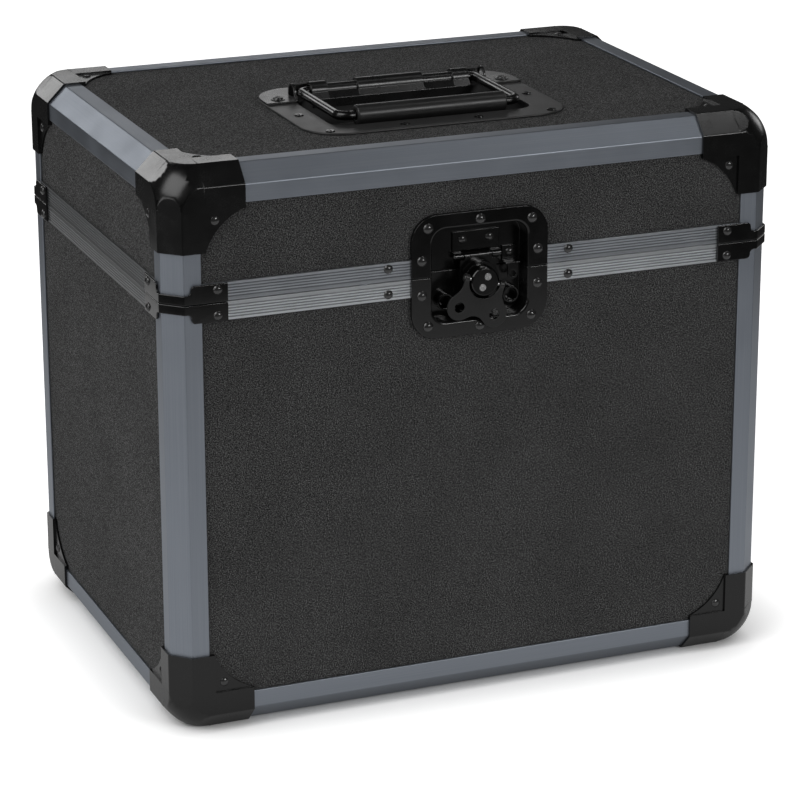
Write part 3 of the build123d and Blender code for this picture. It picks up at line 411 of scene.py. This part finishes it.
def roundEdges(piece, width, segments=3, angle=35.0, clamp=True):
    applyModifier(
        piece, "BEVEL", width=width * mm, segments=segments, limit_method="ANGLE",
        angle_limit=radians(angle), miter_outer="MITER_ARC", use_clamp_overlap=clamp,
    )


def smooth(piece, angle=40.0):
    takeUp(piece)
    bpy.ops.object.shade_smooth_by_angle(angle=radians(angle))
    applyModifier(piece, "WEIGHTED_NORMAL", keep_sharp=True)


def settle(piece, body, slot, material, *replaced):
    piece.data.materials.clear()
    piece.data.materials.append(material)
    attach(piece, body)
    if replaced:
        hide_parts(*replaced)


def bodyOf(node):
    return nodes[node]["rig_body"]


def softened(node, name, material, slot, width, segments=3, angle=35.0, clamp=True, plain=True):
    piece = mergedCopy(node, name, plain)
    roundEdges(piece, width, segments, angle, clamp)
    smooth(piece)
    settle(piece, bodyOf(node), slot, material, node)
    return piece


def keep(node, material):  # the CAD node stays, with a better finish
    for slot in nodes[node].material_slots:
        slot.material = material


for node in nodes:
    if node.endswith("_panel"):
        keep(node, laminate)

edgeLook = {"radius": 0.55, "segments": 3}
for part in ("base", "lid"):
    for kind, material in (
        ("upright", alongZ), ("long_edge", alongX), ("side_edge", alongY),
    ):
        softened(
            f"{part}_{kind}_profiles", f"{part}.{kind}", material, "blue_grey_aluminium",
            edgeLook["radius"], edgeLook["segments"],
        )
    for kind, along in (("front_rims", "X"), ("back_rim", "X"), ("side_rims", "Y")):
        # painted light and shade: each rim gets the lighter or darker copy of the finish for its part
        # and axis
        material = closure[part + along]
        softened(f"{part}_{kind}", f"{part}.{kind}", material, "closure_aluminium", 0.12, 1)
print("profiles and closure rims done")

outerFaces = ((-200.0, 200.0), (-144.0, 144.0), (1.5, 357.5))  # of the profiles, along x, y and z
capLook = {
    "edge": 0.3,
    "crease": 0.65,
    "creaseSegments": 3,
    "armWidth": 25.0,
    "webStep": 0.8,
    "webSlope": 1.1,
}


def fromFaces(point, axis):  # distance in from the nearer outer face, in millimetres
    return min(abs(point[axis] / mm - face) for face in outerFaces[axis])


def isWeb(face):  # the flat outer skin between the two arms
    axis = max(range(3), key=lambda i: abs(face.normal[i]))
    if abs(face.normal[axis]) < 0.99:
        return False
    low, high = outerFaces[axis]
    if low - 1 < face.center[axis] / mm < high + 1:
        return False
    others = [i for i in range(3) if i != axis]
    return all(fromFaces(face.center, i) > capLook["armWidth"] for i in others)


def recessWebs(piece):  # pressed a little deeper than the arms
    edit(piece)
    bpy.ops.mesh.select_mode(type="FACE")
    for axis in range(3):
        for face, side in zip(outerFaces[axis], (1, -1)):
            across = [float(i == axis) for i in range(3)]
            place = [c * (face + side * capLook["armWidth"]) * mm for c in across]
            bpy.ops.mesh.select_all(action="SELECT")
            bpy.ops.mesh.bisect(plane_co=place, plane_no=across)
    bpy.ops.mesh.select_all(action="DESELECT")
    leaveEdit()
    for face in piece.data.polygons:
        face.select = isWeb(face)
    edit(piece)
    bpy.ops.mesh.inset(
        thickness=capLook["webSlope"] * mm, depth=-capLook["webStep"] * mm, use_even_offset=True
    )
    bpy.ops.mesh.select_mode(type="VERT")
    leaveEdit()


def isCrease(ends, normals):  # a long bend of the skin beside the bevel
    middle = (ends[0] + ends[1]) / 2
    outside = False
    for axis, (low, high) in enumerate(outerFaces):
        outside = outside or not low - 0.5 < middle[axis] / mm < high + 0.5
    if len(normals) != 2 or (ends[0] - ends[1]).length < 8 * mm:
        return False
    return outside and radians(40) < normals[0].angle(normals[1]) < radians(50)


def roundCreases(piece):
    edit(piece)
    bpy.ops.mesh.select_mode(type="EDGE")
    bpy.ops.mesh.select_all(action="DESELECT")
    leaveEdit()
    sides = {}
    for face in piece.data.polygons:
        for key in face.edge_keys:
            sides.setdefault(key, []).append(face.normal)
    points = piece.data.vertices
    for side in piece.data.edges:
        ends = [points[i].co for i in side.vertices]
        side.select = isCrease(ends, sides.get(side.key, []))
    edit(piece)
    bpy.ops.mesh.bevel(
        offset=capLook["crease"] * mm, segments=capLook["creaseSegments"], clamp_overlap=False
    )
    bpy.ops.mesh.select_mode(type="VERT")
    leaveEdit()


for part in ("base", "lid"):
    node = f"{part}_corner_caps"
    caps = mergedCopy(node, f"{part}.caps")
    recessWebs(caps)
    roundCreases(caps)
    roundEdges(caps, capLook["edge"], 2, 60.0)
    smooth(caps)
    settle(caps, bodyOf(node), "black_steel", capBlack, node)
    softened(f"{part}_corner_straps", f"{part}.straps", glossBlack, "black_steel", 0.5, clamp=False)
print("corner fittings done")


# ---- rivets: one domed head, copied to each place
def islandBoxes(node):
    piece = mergedCopy(node, "islands")
    edit(piece)
    bpy.ops.mesh.select_all(action="SELECT")
    bpy.ops.mesh.separate(type="LOOSE")
    leaveEdit()
    boxes = []
    for part in list(bpy.context.selected_objects):
        points = [vertex.co for vertex in part.data.vertices]
        low = Vector([min(p[i] for p in points) for i in range(3)])
        high = Vector([max(p[i] for p in points) for i in range(3)])
        boxes.append((low, high))
        bpy.data.objects.remove(part)
    return sorted(boxes, key=lambda box: tuple(round(c, 5) for c in box[0]))


def outwardPlace(box):  # axis, radius and foot of a flat round island, looking out of the case
    low, high = box
    span = high - low
    axis = min(range(3), key=lambda i: span[i])
    side = 1 if (low[axis] + high[axis]) / 2 > caseMiddle[axis] else -1
    foot = (low + high) / 2
    tip = high[axis] if side > 0 else low[axis]
    direction = Vector((0, 0, 0))
    direction[axis] = side
    foot[axis] = tip
    return foot, direction, max(span) / 2


def domedHead(radius, height, skirt=0.0, segments=24, rings=5):  # its foot a skirt under z = 0
    sphere = (radius ** 2 + height ** 2) / (2 * height)
    deselect()
    bpy.ops.mesh.primitive_uv_sphere_add(
        segments=segments, ring_count=4 * rings, radius=sphere, location=(0, 0, height - sphere)
    )
    head = bpy.context.object
    takeUp(head)
    bpy.ops.object.transform_apply(location=True, rotation=False, scale=False)
    edit(head)
    bpy.ops.mesh.select_all(action="SELECT")
    bpy.ops.mesh.bisect(
        plane_co=(0, 0, 0.12 * height), plane_no=(0, 0, 1), use_fill=False, clear_inner=True
    )
    drop = -0.12 * height - skirt
    bpy.ops.mesh.extrude_region_move(TRANSFORM_OT_translate={"value": (0, 0, drop)})
    bpy.ops.mesh.edge_face_add()
    bpy.ops.mesh.select_all(action="SELECT")
    bpy.ops.mesh.normals_make_consistent(inside=False)
    leaveEdit()
    return head


def copiesAt(master, places):  # places are (foot, direction); one joined object comes back
    made = []
    for foot, direction in places:
        copy = master.copy()
        copy.data = master.data.copy()
        scene.collection.objects.link(copy)
        turn = direction.to_track_quat("Z", "Y").to_matrix().to_4x4()
        copy.data.transform(Matrix.Translation(foot) @ turn)
        made.append(copy)
    bpy.data.objects.remove(master)
    deselect()
    for copy in made:
        copy.select_set(True)
    bpy.context.view_layer.objects.active = made[0]
    bpy.ops.object.join()
    return bpy.context.object


def domedRivets(node, name, material, slot, height, skirt=0.0):  # height in millimetres
    spots = [outwardPlace(box) for box in islandBoxes(node)]
    radius = spots[0][2]
    foots = []
    for tip, direction, _ in spots:
        foots.append((tip - direction * height * mm, direction))
    piece = copiesAt(domedHead(radius, height * mm, skirt * mm), foots)
    piece.name = name
    smooth(piece, 50)
    settle(piece, bodyOf(node), slot, material, node)
    return piece


rivetHeights = {
    "base_cap_rivets": 1.2, "lid_cap_rivets": 1.2, "base_seam_rivets": 1.6,
    "lid_seam_rivets": 1.6, "base_dish_rivets": 2.0, "lid_dish_rivets": 2.0,
    "latch_plate_rivets": 1.6,
}
for node, height in rivetHeights.items():
    skirt = capLook["webStep"] + 0.1 if "cap" in node else 0.0
    domedRivets(node, node.replace("_", "."), rivetBlack, "black_steel", height, skirt)
print("rivets done")

# ---- latch
softened("lid_latch_dish", "latch.dishUpper", plateBlack, "black_steel", 0.45, clamp=False)
softened("base_latch_dish", "latch.dishLower", dishGray, "satin_steel", 0.45, clamp=False)
for node, width, clamp in (
    ("latch_hinge_plate", 0.35, False), ("latch_arm", 0.4, True), ("latch_strike", 0.4, True),
    ("padlock_eyelets", 0.5, False), ("padlock_hasp", 0.35, False),
):
    softened(node, node.replace("_", "."), glossBlack, "satin_steel", width, clamp=clamp)
softened("latch_drum", "latch.drum", glossBlack, "satin_steel", 0.25, clamp=False)
softened("latch_wing", "latch.wing", wingGray, "wing_steel", 0.3, clamp=False, plain=False)
for node in ("latch_hinge_pin", "wing_fold_pin"):
    softened(node, node.replace("_", "."), brightSteel, "bright_steel", 0.2)
softened("drum_pins", "drum.pins", brightSteel, "bright_steel", 0.15, 2)
print("latch done")

# ---- handle
softened("handle_plate", "handle.plate", satinBlack, "satin_steel", 0.6, clamp=False)
softened("handle_cover", "handle.cover", coverBlack, "satin_steel", 0.3, clamp=False)
softened("handle_bushes", "handle.bushes", glossBlack, "satin_steel", 0.3, plain=False)
softened("handle_bail", "handle.bail", capBlack, "satin_steel", 0.3)
softened("handle_grip", "handle.grip", sleeveBlack, "grip_sleeve", 1.2)
screwLook = {"height": 0.8, "top": 0.74, "slotLength": 3.6, "slotWidth": 0.9, "slotDepth": 0.6}


def crossHead(radius):  # a low coned head with a cross recess, its foot on z = 0
    height = screwLook["height"] * mm
    deselect()
    bpy.ops.mesh.primitive_cone_add(
        vertices=32, radius1=radius, radius2=radius * screwLook["top"], depth=height,
        location=(0, 0, height / 2),
    )
    head = bpy.context.object
    bpy.ops.object.transform_apply(location=True, rotation=False, scale=False)
    long, short = screwLook["slotLength"] * mm, screwLook["slotWidth"] * mm
    for size in ((long, short), (short, long)):
        deselect()
        bpy.ops.mesh.primitive_cube_add(size=1, location=(0, 0, height))
        cutter = bpy.context.object
        cutter.scale = (size[0], size[1], 2 * screwLook["slotDepth"] * mm)
        bpy.ops.object.transform_apply(location=True, rotation=False, scale=True)
        applyModifier(head, "BOOLEAN", object=cutter, operation="DIFFERENCE", solver="EXACT")
        bpy.data.objects.remove(cutter)
    roundEdges(head, 0.12, 2)
    return head


popLook = {"washer": 0.55, "ringMiddle": 0.52, "ringThick": 0.9, "height": 1.5}


def popHead(radius):  # a washer with the rolled ring of the rivet on it
    thick = popLook["washer"] * mm
    deselect()
    bpy.ops.mesh.primitive_cylinder_add(
        vertices=40, radius=radius, depth=thick, location=(0, 0, thick / 2)
    )
    washer = bpy.context.object
    bpy.ops.object.transform_apply(location=True, rotation=False, scale=False)
    roundEdges(washer, 0.15, 2)
    ringThick = popLook["ringThick"] * mm
    deselect()
    bpy.ops.mesh.primitive_torus_add(
        major_radius=radius * popLook["ringMiddle"], minor_radius=ringThick,
        major_segments=32, minor_segments=12, location=(0, 0, popLook["height"] * mm - ringThick),
    )
    ring = bpy.context.object
    bpy.ops.object.transform_apply(location=True, rotation=False, scale=False)
    washer.select_set(True)
    bpy.context.view_layer.objects.active = washer
    bpy.ops.object.join()
    return bpy.context.object


for node, height, master, material, slot in (
    ("handle_screws", screwLook["height"], crossHead, glossBlack, "black_steel"),
    ("handle_pop_rivets", popLook["height"], popHead, dullSteel, "bright_steel"),
):
    spots = [outwardPlace(box) for box in islandBoxes(node)]
    foots = [(tip - direction * height * mm, direction) for tip, direction, _ in spots]
    heads = copiesAt(master(spots[0][2]), foots)
    heads.name = node.replace("_", ".")
    smooth(heads, 35)
    settle(heads, bodyOf(node), slot, material, node)
print("handle done")

# ---- back hinges
for part in ("base", "lid"):
    softened(f"hinge_{part}_leaves", f"hinge.{part}Leaves", glossBlack, "black_steel", 0.35)
softened("hinge_pins", "hinge.pins", brightSteel, "bright_steel", 0.2)

# ---- foam lining
foamLook = {"edge": 0.9, "cell": 12.0, "wave": 45.0, "unevenness": 0.5}
swell = bpy.data.textures.new("foamSwell", "CLOUDS")
swell.noise_scale = foamLook["wave"] * mm


def gridCut(piece, cell):  # cuts across the piece along x, y and z, about a cell apart
    spans = []
    for axis in range(3):
        places = [vertex.co[axis] for vertex in piece.data.vertices]
        spans.append((min(places), max(places)))
    edit(piece)
    for axis, (low, high) in enumerate(spans):
        count = int((high - low) / (cell * mm))
        across = [float(i == axis) for i in range(3)]
        for step in range(1, count):
            place = [c * (low + (high - low) * step / count) for c in across]
            bpy.ops.mesh.select_all(action="SELECT")
            bpy.ops.mesh.bisect(plane_co=place, plane_no=across)
    leaveEdit()


for node in ("floor_pad", "front_wall_pad", "back_wall_pad", "lid_pad"):
    pad = mergedCopy(node, node.replace("_", "."))
    roundEdges(pad, foamLook["edge"], 3)
    gridCut(pad, foamLook["cell"])
    applyModifier(
        pad, "DISPLACE", texture=swell, strength=foamLook["unevenness"] * mm, mid_level=0.7
    )
    smooth(pad, 50)
    settle(pad, bodyOf(node), "foam", foam, node)
print("foam done")

# ---- studio
studio = {
    "floorSize": 12.0,
    "cameraPlace": (-0.7548, -1.8924, 0.8382),
    "cameraTarget": (0.0056, 0.0, 0.148),
    "cameraRoll": -0.12,
    "lens": 146.5,
}


def makeCamera():
    data = bpy.data.cameras.new("camera")
    data.lens = studio["lens"]
    data.sensor_width = 36.0
    data.clip_start = 0.05
    data.clip_end = 50.0
    camera = bpy.data.objects.new("camera", data)
    scene.collection.objects.link(camera)
    place = Vector(studio["cameraPlace"])
    look = Vector(studio["cameraTarget"]) - place
    turn = look.to_track_quat("-Z", "Y").to_matrix().to_4x4()
    roll = Matrix.Rotation(radians(studio["cameraRoll"]), 4, "Z")
    camera.matrix_world = Matrix.Translation(place) @ turn @ roll
    scene.camera = camera


def makeFloorPiece():
    deselect()
    bpy.ops.mesh.primitive_plane_add(size=studio["floorSize"], location=(0, 0, -0.0002))
    floor = bpy.context.object
    floor.name = "studioFloor"
    floor.data.materials.append(makeFloor())


lamps = {  # place, size and watts of each softbox
    "key": {"place": (-1.55, -0.55, 1.75), "size": (1.75, 1.75), "watts": 30},
    "backLeft": {"place": (-1.25, 2.7, 1.3), "size": (1.1, 0.7), "watts": 8},
    "backRight": {"place": (0.7, 2.65, 1.25), "size": (1.0, 0.6), "watts": 3},
    "right": {"place": (2.4, 0.9, 0.95), "size": (0.8, 0.8), "watts": 5},
    "front": {"place": (1.0, -2.25, 1.25), "size": (1.0, 0.25), "watts": 17},
    "top": {"place": (1.0, -0.4, 2.1), "size": (0.3, 0.3), "watts": 1.8},
    "left": {"place": (-2.3, -0.5, 0.35), "size": (1.2, 0.5), "watts": 4},
}


def makeLamps():
    for name, lamp in lamps.items():
        data = bpy.data.lights.new(name, "AREA")
        data.shape = "RECTANGLE"
        data.size, data.size_y = lamp["size"]
        data.energy = lamp["watts"]
        light = bpy.data.objects.new(name, data)
        scene.collection.objects.link(light)
        place = Vector(lamp["place"])
        look = Vector((0, 0, 0.18)) - place
        turn = look.to_track_quat("-Z", "Y").to_matrix().to_4x4()
        light.matrix_world = Matrix.Translation(place) @ turn


def makeWorld():
    world = bpy.data.worlds.new("studio")
    scene.world = world
    world.use_nodes = True
    tree = world.node_tree
    background = tree.nodes["Background"]
    rays = tree.nodes.new("ShaderNodeLightPath")
    strength = tree.nodes.new("ShaderNodeMapRange")
    strength.inputs["To Min"].default_value = 0.045
    strength.inputs["To Max"].default_value = 1.0
    tree.links.new(rays.outputs["Is Camera Ray"], strength.inputs["Value"])
    tree.links.new(strength.outputs[0], background.inputs["Strength"])
    background.inputs["Color"].default_value = (1, 1, 1, 1)
    scene.view_settings.view_transform = "Standard"


makeCamera()
makeFloorPiece()
makeLamps()
makeWorld()
print("studio done")
